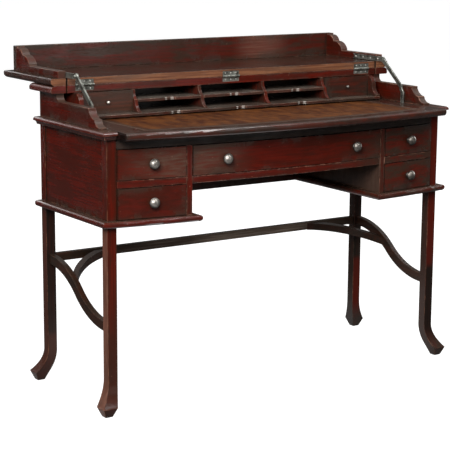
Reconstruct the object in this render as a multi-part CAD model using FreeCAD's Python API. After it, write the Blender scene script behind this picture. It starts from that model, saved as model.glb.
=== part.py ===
import FreeCAD, Part
import math
import os

# Open mechanical writing desk with a bowed front. Lengths are in millimetres.
# X runs from left to right, Y from the front corner of the case to the back, Z up from the floor.
# The pieces are moved at the end, so that the origin lies under the middle of the open desk.

# Case
case_width = 1112.0
case_depth = 380.0
bow_rise = 46.0
pedestal_width = 240.0
under_clearance = 505.0
bottom_thick = 17.0
bottom_overhang = 20.0
lower_opening = 84.0
rail_thick = 19.0
upper_opening = 83.0
frieze_height = 27.0
frieze_recess = 2.0
frieze_depth = 24.0
rail_depth = 52.0
panel_thick = 16.0
panel_recess = 3.0
stile_thick = 17.0
back_thick = 12.0
back_inset = 3.0

# Mouldings
top_thick = 21.0
top_overhang = 22.0
top_edge_radius = 8.0
top_cove_radius = 11.0
bottom_upper_radius = 6.0
bottom_lower_radius = 9.0
nosing_upper_radius = 8.0
nosing_lower_radius = 11.0

# Legs and stretchers
leg_side = 28.0
foot_flare_height = 96.0
foot_toe_height = 25.0
foot_toe_side = 42.0
foot_pad_side = 21.0
foot_splay = 24.0
foot_sections = 5
stretcher_thick = 16.0
side_stretcher_height = 27.0
rear_stretcher_height = 24.0
rear_stretcher_level = 357.0
front_stretcher_level = 234.0
brace_thick = 15.0
brace_height = 21.0
brace_front_level = 312.0
brace_side_reach = 142.0
brace_rear_reach = 182.0
brace_bulge_share = 0.23

# Cheeks, fixed top board and lid
cheek_thick = 23.0
cheek_height = 72.0
cheek_step_height = 22.0
cheek_step_setback = 10.0
cheek_step_radius = 14.0
scroll_front = 39.0
scroll_depth = 60.0
wing_scroll_depth = 78.0
board_thick = 20.0
board_overhang = 21.0
board_edge_radius = 11.0
board_back_radius = 4.0
hinge_line = 268.0
lid_depth = 275.0
fold_gap = 0.3
lid_gap = 2.0
gallery_thick = 18.0
wing_thick = 24.0
notch_width = 5.0
notch_depth = 20.0

# A scroll runs from its foot to its top, in shares of its depth and height and the hollow of the next stretch
scroll_shares = ((0.0, 0.0, 0.0), (0.0, 0.1, -0.38), (0.42, 0.46, -0.3), (0.95, 0.9, 0.0), (0.95, 1.0, 0.0))

# Butt hinges
hinge_spread = 475.0
hinge_width = 56.0
hinge_leaf_height = 15.0
hinge_leaf_thick = 2.5
hinge_knuckle_radius = 4.2
hinge_pin_radius = 1.8
hinge_nail_spread = 18.0
hinge_nail_drop = 9.5
hinge_nail_radius = 2.4
hinge_nail_rise = 1.0
nail_crown_share = 0.55
half_turn_share = 1.0

# Linkage between the lid and the writing slide
crank_ahead = 44.0
crank_rise = 29.0
strap_length = 155.0
strap_width = 14.0
strap_thick = 4.0
strap_nail_first = 16.0
strap_nail_pitch = 36.0
strap_nail_count = 4
strap_nail_radius = 3.0
strap_nail_rise = 1.6
link_pin_radius = 3.5
link_head_radius = 6.5
link_head_thick = 2.0
link_collar_radius = 6.0
arm_gap = 2.0
arm_reach = 96.0
arm_foot_depth = 3.0
arm_width = 12.0
arm_thick = 5.0
arm_eye_radius = 8.0
arm_bend_radius = 22.0
arm_foot_run = 34.0
arm_foot_radius = 6.5
arm_slot_side = 14.0
arm_slot_ahead = 44.0
arm_slot_behind = 36.0

# Writing slide
slide_rest_back = 322.0
leather_side_border = 74.0
leather_front_border = 46.0
leather_back_border = 20.0
leather_thick = 1.2
bearer_width = 22.0
bearer_height = 20.0
bearer_inset = 20.0

# Nest of drawers and pigeonholes
nest_side_gap = 25.0
nest_side_thick = 14.0
nest_gap = 3.0
nest_base_thick = 8.0
nest_base_ahead = 55.0
nest_side_ahead = 52.0
nest_front_ahead = 12.0
nest_back_thick = 12.0
divider_thick = 10.0
divider_inner = 109.0
divider_outer = 325.0
divider_foot_ahead = 44.0
divider_head_ahead = 3.0
shelf_thick = 8.0
shelf_drop = 26.0
shelf_ahead = 20.0
shelf_notch_width = 36.0
shelf_notch_bulge_share = 0.4
shelf_bow_bulge_share = -0.06
side_shares = ((0.0, 0.0, 0.0), (0.0, 0.08, -0.3), (0.5, 0.5, 0.3), (1.0, 1.0, 0.0))
divider_shares = ((0.0, 0.0, -0.3), (0.58, 0.42, 0.0), (0.64, 0.56, -0.3), (1.0, 1.0, 0.0))

# Drawers
front_thick = 20.0
front_proud = 1.0
front_gap = 1.2
box_board = 10.0
box_bottom_thick = 6.0
box_top_drop = 10.0
box_inner_gap = 3.0
box_outer_gap = 12.0
box_back_gap = 18.0
runner_width = 21.0
nest_front_thick = 10.0
nest_front_gap = 0.8
nest_box_board = 6.0
nest_box_bottom_thick = 4.0
centre_knob_inset = 100.0

# Knobs: the head, the foot against the front, the neck between them and the stud behind
knob_radius = 14.5
knob_length = 23.0
knob_foot_radius = 8.5
knob_foot_thick = 2.5
knob_neck_radius = 5.5
knob_neck_length = 7.0
knob_stud_radius = 2.5
knob_stud_length = 14.0
small_knob_radius = 4.6
small_knob_length = 10.0
small_knob_foot_radius = 3.2
small_knob_foot_thick = 1.0
small_knob_neck_radius = 2.0
small_knob_neck_length = 3.5
small_knob_stud_radius = 1.2
small_knob_stud_length = 7.0
knob_crown_share = 0.6
knob_under_bulge_share = -0.45

# Fits
pin_clearance = 0.05
knuckle_clearance = 0.4
slide_clearance = 0.3
side_clearance = 1.0
overrun = 40.0
tiny = 0.01

# Levels
z_floor = under_clearance + bottom_thick
z_rail = z_floor + lower_opening
z_upper = z_rail + rail_thick
z_frieze = z_upper + upper_opening
z_case = z_frieze + frieze_height
z_top = z_case + top_thick
z_board = z_top + cheek_height
cheek_rail_height = cheek_height - cheek_step_height
z_axis = z_board + board_thick
z_leaf = z_axis + board_thick
z_gallery = z_leaf + cheek_height - lid_gap

# Widths from the middle, and depths from the front corner
half = case_width / 2
hinge_places = (-hinge_spread, 0, hinge_spread)
x_leg = half - leg_side
x_knee = half - pedestal_width
x_stile = x_knee + stile_thick
x_panel = half - panel_recess - panel_thick
x_cheek = half - cheek_thick
x_wing = half - wing_thick
x_slide = x_cheek - side_clearance
nest_half_width = x_cheek - nest_side_gap
y_back_panel = case_depth - back_inset - back_thick
y_edge = hinge_line + fold_gap
y_gallery = hinge_line + lid_depth
y_lid_back = y_gallery + board_overhang
y_scroll = scroll_front + scroll_depth
bow_radius = (half ** 2 + bow_rise ** 2) / (2 * bow_rise)
bow_centre = bow_radius - bow_rise

# The arm swings between the lid's pin and the slide, and sets how far the slide travels
y_crank = hinge_line - crank_ahead
z_crank = z_axis + crank_rise
y_foot = y_crank - arm_reach
z_foot = z_top - arm_foot_depth
arm_length = math.hypot(arm_reach, z_crank - z_foot)
closed_drop = z_axis - crank_rise - z_foot
closed_reach = math.sqrt(arm_length ** 2 - closed_drop ** 2)
slide_travel = 2 * crank_ahead - (closed_reach - arm_reach)
arm_turn = math.atan2(closed_drop, closed_reach) - math.atan2(z_crank - z_foot, arm_reach)


def vec(x, y, z):
    return FreeCAD.Vector(x, y, z)


def bow_y(x, proud=0.0):
    """Depth of the bowed front at x, moved out of the case by proud."""
    return bow_centre - math.sqrt((bow_radius + proud) ** 2 - x ** 2)


# The slide's nosing stands out of the top rails by its travel when the desk is open
slide_shift = -(top_overhang + slide_travel) - bow_y(x_slide)
y_nosing = bow_y(0) + slide_shift
y_middle = (y_lid_back + y_nosing) / 2


def box(x0, x1, y0, y1, z0, z1):
    return Part.makeBox(x1 - x0, y1 - y0, z1 - z0, vec(x0, y0, z0))


def rod(axis, radius, start, length):
    return Part.makeCylinder(radius, length, start, axis)


def along_x(radius, x0, x1, y, z):
    return rod(vec(1, 0, 0), radius, vec(x0, y, z), x1 - x0)


def mirrored(shape):
    return shape.mirror(vec(0, 0, 0), vec(1, 0, 0))


def bulged_face(points, place):
    """Face inside (u, v, bulge) points. A bulge is an arc's rise over half its chord."""
    edges = []
    for (u0, v0, bulge), (u1, v1, _) in zip(points, points[1:] + points[:1]):
        start = place(u0, v0)
        end = place(u1, v1)
        if bulge:
            middle = place((u0 + u1 - bulge * (v1 - v0)) / 2, (v0 + v1 + bulge * (u1 - u0)) / 2)
            edges.append(Part.Arc(start, middle, end).toShape())
        else:
            edges.append(Part.LineSegment(start, end).toShape())
    return Part.Face(Part.Wire(edges))


def slab_x(points, x0, x1):
    """Outline in Y and Z, as thick as from x0 to x1."""
    face = bulged_face(points, lambda y, z: vec(x0, y, z))
    return face.extrude(vec(x1 - x0, 0, 0))


def slab_y(points, y0, y1):
    """Outline in X and Z, as thick as from y0 to y1."""
    face = bulged_face(points, lambda x, z: vec(x, y0, z))
    return face.extrude(vec(0, y1 - y0, 0))


def slab_z(points, z0, z1):
    """Outline in X and Y, as thick as from z0 to z1."""
    face = bulged_face(points, lambda x, y: vec(x, y, z0))
    return face.extrude(vec(0, 0, z1 - z0))


def bowed(x0, x1, y_back, z0, z1, proud=0.0):
    """Board with a bowed front and a straight back."""
    ends = [vec(x0, bow_y(x0, proud), z0), vec(x1, bow_y(x1, proud), z0)]
    middle = (x0 + x1) / 2
    front = Part.Arc(ends[0], vec(middle, bow_y(middle, proud), z0), ends[1]).toShape()
    corners = [ends[1], vec(x1, y_back, z0), vec(x0, y_back, z0), ends[0]]
    sides = [Part.LineSegment(a, b).toShape() for a, b in zip(corners, corners[1:])]
    return Part.Face(Part.Wire([front] + sides)).extrude(vec(0, 0, z1 - z0))


def rounded(shape, z, radius, chosen):
    """Shape with the edges at height z rounded where their middle passes the chosen test."""
    level = [e for e in shape.Edges if all(abs(v.Z - z) < tiny for v in e.Vertexes)]
    return shape.makeFillet(radius, [e for e in level if chosen(e.CenterOfMass)])


def nosed(shape, z0, z1, lower, upper, chosen):
    """Board whose chosen edges are rounded below and above."""
    return rounded(rounded(shape, z1, upper, chosen), z0, lower, chosen)


def write(node, *solids):
    shape = solids[0] if len(solids) == 1 else Part.makeCompound(solids)
    moved = shape.copy()
    moved.translate(vec(0, -y_middle, 0))
    moved.exportStep(f"parts/{node}.step")


def write_both(node, *solids):
    """One node with the right pieces and their mirror images."""
    write(node, *solids, *[mirrored(s) for s in solids])


def write_pair(node, shape):
    """Two nodes, for the right piece and the left one."""
    write(f"{node}_right", shape)
    write(f"{node}_left", mirrored(shape))


# Legs and stretchers
def square(x, y, z, side):
    corners = [(-1, -1), (1, -1), (1, 1), (-1, 1), (-1, -1)]
    return Part.makePolygon([vec(x + u * side / 2, y + v * side / 2, z) for u, v in corners])


def leg(y, outward):
    """Right leg at depth y: a square post whose foot turns out towards the corner."""
    x = half - leg_side / 2
    sections = []
    for step in range(foot_sections + 1):
        drop = step / foot_sections
        flare = drop ** 2
        side = leg_side + (foot_toe_side - leg_side) * flare
        level = foot_flare_height + (foot_toe_height - foot_flare_height) * drop
        sections.append(square(x + foot_splay * flare, y + outward * foot_splay * flare, level, side))
    pad = square(x + foot_splay, y + outward * foot_splay, 0, foot_pad_side)
    flare = Part.makeLoft(sections, True)
    hoof = Part.makeLoft([sections[-1], pad], True, True)
    post = box(x_leg, half, y - leg_side / 2, y + leg_side / 2, foot_flare_height, z_case)
    return post.fuse([flare, hoof]).removeSplitter()


def side_stretcher():
    """Right side stretcher: two equal arcs that fall from the back leg to the front leg."""
    y_back = case_depth - leg_side
    run = (y_back - leg_side) / 2
    fall = (rear_stretcher_level - front_stretcher_level) / 2
    turn = 2 * math.atan2(fall, run)
    bulge = math.tan(turn / 4)
    edge = side_stretcher_height / 2
    y_bend = leg_side + run
    z_bend = front_stretcher_level + fall
    lean = (edge * math.sin(turn), edge * math.cos(turn))
    outline = [
        (y_back, rear_stretcher_level + edge, -bulge),
        (y_bend - lean[0], z_bend + lean[1], bulge),
        (leg_side, front_stretcher_level + edge, 0),
        (leg_side, front_stretcher_level - edge, -bulge),
        (y_bend + lean[0], z_bend - lean[1], bulge),
        (y_back, rear_stretcher_level - edge, 0),
    ]
    return slab_x(outline, x_stretcher - stretcher_thick / 2, x_stretcher + stretcher_thick / 2)


def corner_brace():
    """Right brace: a flat bow in a tilted plane, cut to the side stretcher and the rear one."""
    y_side = case_depth - leg_side - brace_side_reach
    x_rear = x_leg - brace_rear_reach
    turn = 2 * math.atan(brace_bulge_share)
    lead = math.atan2(y_stretcher - y_side, x_rear - x_stretcher)
    ends = [(x_stretcher, y_side, lead - turn), (x_rear, y_stretcher, lead + turn)]
    edge = brace_thick / 2
    (p0, p1), (q0, q1) = [[(x - side * edge * math.sin(a), y + side * edge * math.cos(a)) for x, y, a in ends]
                          for side in (-1, 1)]
    plan = [(*p0, -brace_bulge_share), (*p1, 0), (*q1, brace_bulge_share), (*q0, 0)]
    rise = brace_height / 2
    slope = [
        (y_side - overrun, brace_front_level - rise, 0),
        (y_side, brace_front_level - rise, 0),
        (y_stretcher, rear_stretcher_level - rise, 0),
        (y_stretcher, rear_stretcher_level + rise, 0),
        (y_side, brace_front_level + rise, 0),
        (y_side - overrun, brace_front_level + rise, 0),
    ]
    bow = slab_z(plan, 0, z_case).common(slab_x(slope, 0, half))
    inset = stretcher_thick / 2
    return bow.common(box(0, x_stretcher - inset, 0, y_stretcher - inset, 0, z_case))


x_stretcher = half - leg_side / 2
y_stretcher = case_depth - leg_side / 2
leg_front = leg(leg_side / 2, -1)
leg_back = leg(y_stretcher, 1)
rear_stretcher = box(-x_leg, x_leg, y_stretcher - stretcher_thick / 2, y_stretcher + stretcher_thick / 2,
                     rear_stretcher_level - rear_stretcher_height / 2,
                     rear_stretcher_level + rear_stretcher_height / 2)


# Case
def pedestal_bottom():
    """Right moulded bottom, cut round the legs and in front of the back panel."""
    x_inner = x_knee - bottom_overhang
    board = bowed(x_inner, half + bottom_overhang, case_depth, under_clearance, z_floor, bottom_overhang)
    board = nosed(board, under_clearance, z_floor, bottom_lower_radius, bottom_upper_radius,
                  lambda c: c.y < case_depth - tiny)
    posts = [box(x_leg, half, y, y + leg_side, 0, z_case) for y in (0, case_depth - leg_side)]
    rebate = box(0, x_leg, y_back_panel, case_depth + overrun, 0, z_case)
    return board.cut(posts + [rebate])


back_panel = box(-x_leg, x_leg, y_back_panel, y_back_panel + back_thick, under_clearance, z_case)
side_panel = box(x_panel, x_panel + panel_thick, leg_side, case_depth - leg_side, z_floor, z_case)
kneehole_panel = bowed(x_knee, x_stile, y_back_panel, z_floor, z_frieze)
side_rail = bowed(x_stile, x_leg, rail_depth, z_rail, z_upper)
centre_rail = bowed(-x_knee, x_knee, rail_depth, z_rail, z_upper)
frieze_rail = bowed(-x_leg, x_leg, frieze_depth, z_frieze, z_case, -frieze_recess)

outer_runner = box(x_leg - runner_width, x_panel, rail_depth, case_depth - leg_side, z_rail, z_upper)
inner_runner = box(x_stile, x_stile + runner_width, rail_depth, y_back_panel, z_rail, z_upper)
centre_runner = box(x_knee - runner_width, x_knee, rail_depth, y_back_panel, z_rail, z_upper)

inner_bearer = box(x_knee, x_stile, frieze_depth, y_back_panel, z_frieze, z_case)
x_bearer = x_slide - bearer_inset
outer_bearer = box(x_bearer - bearer_width, x_bearer, frieze_depth, y_back_panel,
                   z_case - bearer_height, z_case)


def top_rail():
    """Right top rail, rounded above and coved below along its outer side and its front."""
    x_outer = half + top_overhang
    rail = box(x_cheek, x_outer, -top_overhang, case_depth, z_case, z_top)
    rail = rounded(rail, z_top, top_edge_radius, lambda c: c.x > half + tiny or c.y < -tiny)
    start = vec(x_outer, -top_overhang - overrun, z_case)
    side_cove = rod(vec(0, 1, 0), top_cove_radius, start, case_depth + top_overhang + 2 * overrun)
    front_cove = along_x(top_cove_radius, x_cheek - overrun, x_outer + overrun, -top_overhang, z_case)
    return rail.cut([side_cove, front_cove])


# Cheeks, fixed top board and lid
def scroll(y_top, z_low, deep):
    """Scrolled outline that rises over the given depth to the height of a cheek's rail."""
    y_front = y_top - deep
    return [(y_front + u * deep, z_low + v * cheek_rail_height, bulge) for u, v, bulge in scroll_shares]


def cheek():
    """Right cheek: a low rail with a scrolled front, and a tall end that carries the top board."""
    y_step = hinge_line + cheek_step_setback
    z_rail_top = z_top + cheek_rail_height
    outline = scroll(y_scroll, z_top, scroll_depth) + [
        (y_scroll, z_rail_top, 0),
        (y_step - cheek_step_radius, z_rail_top, -math.tan(math.pi / 8)),
        (y_step, z_rail_top + cheek_step_radius, 0),
        (y_step, z_board, 0),
        (case_depth, z_board, 0),
        (case_depth, z_top, 0),
    ]
    return slab_x(outline, x_cheek, half)


def wing():
    """Right wing of the open lid: its scroll fits over the cheek's scroll when the lid is folded shut."""
    closed = scroll(y_scroll - lid_gap, z_top + lid_gap, wing_scroll_depth)
    closed = closed + [(y_scroll - lid_gap, closed[-1][1], 0)]
    turned = [(2 * hinge_line - y, 2 * z_axis - z, bulge) for y, z, bulge in closed]
    y_inner = y_gallery - gallery_thick
    outline = [(y_edge, z_leaf, 0), (y_inner, z_leaf, 0), (y_inner, z_gallery, 0)]
    return slab_x(outline + turned + [(y_edge, turned[-1][1], 0)], x_wing, half)


def mortised(board, up):
    """Board with the beds of the hinge leaves and knuckles, and the strap notches, in its front edge."""
    reach = up * hinge_leaf_height
    y_bed = y_edge + hinge_nail_rise + hinge_leaf_thick
    low = min(z_axis - up * overrun, z_axis + reach)
    high = max(z_axis - up * overrun, z_axis + reach)
    beds = []
    for x in hinge_places:
        beds.append(box(x - hinge_width / 2, x + hinge_width / 2, y_edge - overrun, y_bed, low, high))
        radius = hinge_knuckle_radius + knuckle_clearance
        beds.append(along_x(radius, x - hinge_width / 2, x + hinge_width / 2, hinge_line, z_axis))
    x_notch = x_wing - notch_width / 2
    for side in (-1, 1):
        middle = side * x_notch
        beds.append(box(middle - notch_width / 2, middle + notch_width / 2,
                        y_edge - overrun, y_edge + notch_depth, z_axis - overrun, z_axis + overrun))
    return board.cut(beds)


def plank(y_back, z0, z1, z_round):
    """Board over the full width, rounded at one face along its ends and back."""
    outer = half + board_overhang
    board = box(-outer, outer, y_edge, y_back, z0, z1)
    z_square = z0 + z1 - z_round
    board = rounded(board, z_round, board_edge_radius, lambda c: c.y > y_edge + tiny)
    return rounded(board, z_square, board_back_radius, lambda c: c.y > y_edge + tiny)


top_board = mortised(plank(case_depth + board_overhang, z_board, z_axis - fold_gap, z_axis - fold_gap), -1)
lid_leaf = mortised(plank(y_lid_back, z_axis + fold_gap, z_leaf, z_axis + fold_gap), 1)
gallery_board = box(-half, half, y_gallery - gallery_thick, y_gallery, z_leaf, z_gallery)


# Hinges
def nail(direction, place, radius, rise):
    return Part.makeCone(radius, radius * nail_crown_share, rise, place, direction)


def hinge_leaf(x, up):
    """One leaf of a butt hinge: a plate let into a front edge, with the knuckles that it carries."""
    third = hinge_width / 3
    left = x - hinge_width / 2
    right = x + hinge_width / 2
    y_plate = y_edge + hinge_nail_rise
    levels = sorted([z_axis + up * fold_gap, z_axis + up * hinge_leaf_height])
    plate = box(left, right, y_plate, y_plate + hinge_leaf_thick, *levels)
    own = (1,) if up > 0 else (0, 2)
    other = (0, 2) if up > 0 else (1,)
    gap = knuckle_clearance
    tubes = [along_x(hinge_knuckle_radius, left + k * third, left + (k + 1) * third, hinge_line, z_axis)
             for k in own]
    room = [along_x(hinge_knuckle_radius + gap, left + k * third - gap, left + (k + 1) * third + gap,
                    hinge_line, z_axis)
            for k in other]
    bore = along_x(hinge_pin_radius + pin_clearance, left - overrun, right + overrun, hinge_line, z_axis)
    return plate.fuse(tubes).cut(room + [bore]).removeSplitter()


def hinge_nails(up):
    nails = []
    for x in hinge_places:
        for place in (-hinge_nail_spread, 0, hinge_nail_spread):
            seat = vec(x + place, y_edge + hinge_nail_rise, z_axis + up * hinge_nail_drop)
            nails.append(nail(vec(0, -1, 0), seat, hinge_nail_radius, hinge_nail_rise))
    return nails


hinge_pins = [along_x(hinge_pin_radius, x - hinge_width / 2, x + hinge_width / 2, hinge_line, z_axis)
              for x in hinge_places]


# Linkage
def strap():
    """Right strap on the wing's inner face, with an eye for the link pin."""
    x0 = x_wing - strap_thick
    y_tail = y_crank + strap_length
    edge = strap_width / 2
    outline = [
        (y_crank, z_crank + edge, half_turn_share),
        (y_crank, z_crank - edge, 0),
        (y_tail, z_crank - edge, half_turn_share),
        (y_tail, z_crank + edge, 0),
    ]
    hole = along_x(link_pin_radius + pin_clearance, x0 - overrun, x_wing + overrun, y_crank, z_crank)
    return slab_x(outline, x0, x_wing).cut(hole)


def strap_nails():
    x0 = x_wing - strap_thick
    y_first = y_crank + strap_length - strap_nail_first
    places = [y_first - k * strap_nail_pitch for k in range(strap_nail_count)]
    return [nail(vec(-1, 0, 0), vec(x0, y, z_crank), strap_nail_radius, strap_nail_rise) for y in places]


x_arm = x_wing - strap_thick - arm_gap - arm_thick


def link_pin():
    """Right link pin, riveted into the strap, with a collar before the arm and a head behind it."""
    x_head = x_arm - slide_clearance
    x_collar = x_arm + arm_thick + slide_clearance
    shank = along_x(link_pin_radius, x_head, x_wing, y_crank, z_crank)
    head = along_x(link_head_radius, x_head - link_head_thick, x_head, y_crank, z_crank)
    collar = along_x(link_collar_radius, x_collar, x_wing - strap_thick, y_crank, z_crank)
    return shank.fuse([head, collar]).removeSplitter()


def link_arm():
    """Right arm: straight from the link pin, then bent down to its foot at the slide."""
    edge = arm_width / 2
    centre = (y_foot + arm_bend_radius, z_foot + arm_foot_run)
    to_pin = (y_crank - centre[0], z_crank - centre[1])
    tangent = math.atan2(to_pin[1], to_pin[0]) + math.acos(arm_bend_radius / math.hypot(*to_pin))
    normal = (math.cos(tangent), math.sin(tangent))
    bulge = math.tan((math.pi - tangent) / 4)
    outer = arm_bend_radius + edge
    inner = arm_bend_radius - edge
    outline = [
        (y_crank + normal[0] * edge, z_crank + normal[1] * edge, 0),
        (centre[0] + normal[0] * outer, centre[1] + normal[1] * outer, bulge),
        (centre[0] - outer, centre[1], 0),
        (y_foot - edge, z_foot, 0),
        (y_foot + edge, z_foot, 0),
        (centre[0] - inner, centre[1], -bulge),
        (centre[0] + normal[0] * inner, centre[1] + normal[1] * inner, 0),
        (y_crank - normal[0] * edge, z_crank - normal[1] * edge, 0),
    ]
    eye = along_x(arm_eye_radius, x_arm, x_arm + arm_thick, y_crank, z_crank)
    foot = along_x(arm_foot_radius, x_arm, x_arm + arm_thick, y_foot, z_foot)
    hole = along_x(link_pin_radius + pin_clearance, x_arm - overrun, x_arm + overrun, y_crank, z_crank)
    return slab_x(outline, x_arm, x_arm + arm_thick).fuse([eye, foot]).removeSplitter().cut(hole)


# Writing slide
def slide_board(leather):
    """Slide with a bowed nosing, a bed for the leather and a slot beside each cheek for the arm's foot."""
    z_under = z_case + slide_clearance
    board = bowed(-x_slide, x_slide, slide_rest_back - slide_shift, z_under, z_top)
    board = nosed(board, z_under, z_top, nosing_lower_radius, nosing_upper_radius, lambda c: c.y < 0)
    board.translate(vec(0, slide_shift, 0))
    slot = box(x_slide - arm_slot_side, x_slide + overrun, y_foot - arm_slot_ahead, y_foot + arm_slot_behind,
               z_case - overrun, z_top + overrun)
    return board.cut([leather, slot, mirrored(slot)])


x_leather = x_slide - leather_side_border
leather_inset = bowed(-x_leather, x_leather, slide_rest_back - leather_back_border - slide_shift,
                      z_top - leather_thick, z_top, -leather_front_border)
leather_inset.translate(vec(0, slide_shift, 0))

# Nest
y_nest_back = case_depth - nest_back_thick
y_nest_front = hinge_line - nest_front_ahead
z_nest = z_top + nest_gap
z_nest_floor = z_nest + nest_base_thick
z_nest_top = z_board - fold_gap
z_shelf = z_nest_top - shelf_drop
x_nest_side = nest_half_width - nest_side_thick


def upright(x0, x1, y_foot, y_head, shares):
    """Side or divider of the nest, whose front edge sweeps back from its foot to its head."""
    deep = y_head - y_foot
    tall = z_nest_top - z_nest_floor
    front = [(y_foot + u * deep, z_nest_floor + v * tall, bulge) for u, v, bulge in shares]
    return slab_x(front + [(y_nest_back, z_nest_top, 0), (y_nest_back, z_nest_floor, 0)], x0, x1)


def nest_side(x0):
    return upright(x0, x0 + nest_side_thick, hinge_line - nest_side_ahead, y_nest_front, side_shares)


def divider(x):
    return upright(x - divider_thick / 2, x + divider_thick / 2, hinge_line - divider_foot_ahead,
                   hinge_line - divider_head_ahead, divider_shares)


def shaped_board(x0, x1, y_front, z0, z1, bays):
    """Shelf or base whose front swells in each bay and has a finger notch in its middle."""
    front = [(x0, y_front, 0)]
    for left, right in bays:
        middle = (left + right) / 2
        front.append((left, y_front, shelf_bow_bulge_share))
        front.append((middle - shelf_notch_width / 2, y_front, shelf_notch_bulge_share))
        front.append((middle + shelf_notch_width / 2, y_front, shelf_bow_bulge_share))
        front.append((right, y_front, 0))
    corners = front + [(x1, y_front, 0), (x1, y_nest_back, 0), (x0, y_nest_back, 0)]
    points = [p for k, p in enumerate(corners) if p[:2] != corners[k - 1][:2]]
    return slab_z(points, z0, z1)


edge_inner = divider_inner - divider_thick / 2
bays = [(-divider_outer + divider_thick / 2, -divider_inner - divider_thick / 2), (-edge_inner, edge_inner),
        (divider_inner + divider_thick / 2, divider_outer - divider_thick / 2)]
nest_base = shaped_board(-nest_half_width, nest_half_width, hinge_line - nest_base_ahead,
                         z_nest, z_nest_floor, bays)
nest_shelves = [shaped_board(a, b, hinge_line - shelf_ahead, z_shelf - shelf_thick, z_shelf, [(a, b)])
                for a, b in bays]
dividers = [divider(x) for x in (-divider_outer, -divider_inner, divider_inner, divider_outer)]
nest_uprights = [nest_side(x_nest_side), nest_side(-nest_half_width)] + dividers
nest_back = box(-x_cheek, x_cheek, y_nest_back, case_depth, z_nest, z_board)


# Drawers
def knob(radius, length, foot_radius, foot_thick, neck_radius, neck_length, stud_radius, stud_length):
    """Turned knob that stands out along -Y, with its foot on the plane Y = 0."""
    crown = (length - neck_length) * knob_crown_share
    crown_bulge = -math.tan(math.atan2(crown, radius) / 2)
    outline = [
        (0, -stud_length, 0),
        (stud_radius, -stud_length, 0),
        (stud_radius, 0, 0),
        (foot_radius, 0, 0),
        (foot_radius, foot_thick, 0),
        (neck_radius, neck_length, knob_under_bulge_share),
        (radius, length - crown, crown_bulge),
        (0, length, 0),
    ]
    face = bulged_face(outline, lambda r, out: vec(r, -out, 0))
    return face.revolve(vec(0, 0, 0), vec(0, 1, 0), 360)


large_knob = (knob_radius, knob_length, knob_foot_radius, knob_foot_thick, knob_neck_radius, knob_neck_length,
              knob_stud_radius, knob_stud_length)
small_knob = (small_knob_radius, small_knob_length, small_knob_foot_radius, small_knob_foot_thick,
              small_knob_neck_radius, small_knob_neck_length, small_knob_stud_radius, small_knob_stud_length)


def stud_hole(radius, length):
    return rod(vec(0, 1, 0), radius + pin_clearance, vec(0, -overrun, 0), length + overrun + pin_clearance)


def on_front(shape, x, z):
    """Shape moved to the bowed front at x and z, square to it."""
    placed = shape.copy()
    turn = math.degrees(math.asin(x / (bow_radius + front_proud)))
    placed.rotate(vec(0, 0, 0), vec(0, 0, 1), turn)
    placed.translate(vec(x, bow_y(x, front_proud), z))
    return placed


def box_boards(x0, x1, y0, y1, z0, z1, board, bottom):
    """Bottom, two sides and back of a drawer box behind its front."""
    return [
        box(x0, x1, y0, y1, z0, z0 + bottom),
        box(x0, x0 + board, y0, y1, z0 + bottom, z1),
        box(x1 - board, x1, y0, y1, z0 + bottom, z1),
        box(x0 + board, x1 - board, y1 - board, y1, z0 + bottom, z1),
    ]


def drawer(x0, x1, z0, z1, gap_left, gap_right, knob_places):
    """Front, box boards and knobs of a drawer in the opening from x0 to x1 and z0 to z1."""
    widest = max(abs(x0), abs(x1))
    y_front = bow_y(widest) + front_thick
    front = bowed(x0 + front_gap, x1 - front_gap, y_front, z0 + front_gap, z1 - front_gap, front_proud)
    level = (z0 + z1) / 2
    holes = [on_front(stud_hole(knob_stud_radius, knob_stud_length), x, level) for x in knob_places]
    boards = box_boards(x0 + gap_left, x1 - gap_right, y_front, y_back_panel - box_back_gap,
                        z0 + slide_clearance, z1 - box_top_drop, box_board, box_bottom_thick)
    knobs = [on_front(knob(*large_knob), x, level) for x in knob_places]
    return front.cut(holes), boards, knobs


def nest_drawer():
    """Boards and knob of the right small drawer."""
    x0 = divider_outer + divider_thick / 2
    x1 = x_nest_side
    y_front = y_nest_front
    middle = (x0 + x1) / 2
    level = (z_nest_floor + z_nest_top) / 2
    gap = nest_front_gap
    z_under = z_nest_floor + slide_clearance
    y_boards = y_front + nest_front_thick
    front = box(x0 + gap, x1 - gap, y_front, y_boards, z_under, z_nest_top - gap)
    hole = stud_hole(small_knob_stud_radius, small_knob_stud_length)
    pull = knob(*small_knob)
    for shape in (hole, pull):
        shape.translate(vec(middle, y_front, level))
    boards = box_boards(x0 + gap, x1 - gap, y_boards, y_nest_back - nest_box_board, z_under,
                        z_nest_top - box_top_drop, nest_box_board, nest_box_bottom_thick)
    return [front.cut(hole)] + boards, pull


os.makedirs("parts", exist_ok=True)

write_pair("leg_front", leg_front)
write_pair("leg_back", leg_back)
write("rear_stretcher", rear_stretcher)
write_pair("side_stretcher", side_stretcher())
write_both("corner_braces", corner_brace())

write_both("pedestal_bottoms", pedestal_bottom())
write_both("side_panels", side_panel)
write_both("kneehole_panels", kneehole_panel)
write("back_panel", back_panel)
write("front_rails", side_rail, mirrored(side_rail), centre_rail)
write("frieze_rail", frieze_rail)
write_both("drawer_runners", outer_runner, inner_runner, centre_runner)
write_both("slide_bearers", inner_bearer, outer_bearer)

write_pair("top_rail", top_rail())
write_pair("cheek", cheek())
write("top_board", top_board)
write("lid_leaf", lid_leaf)
write("gallery_board", gallery_board)
write_pair("lid_wing", wing())

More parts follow.
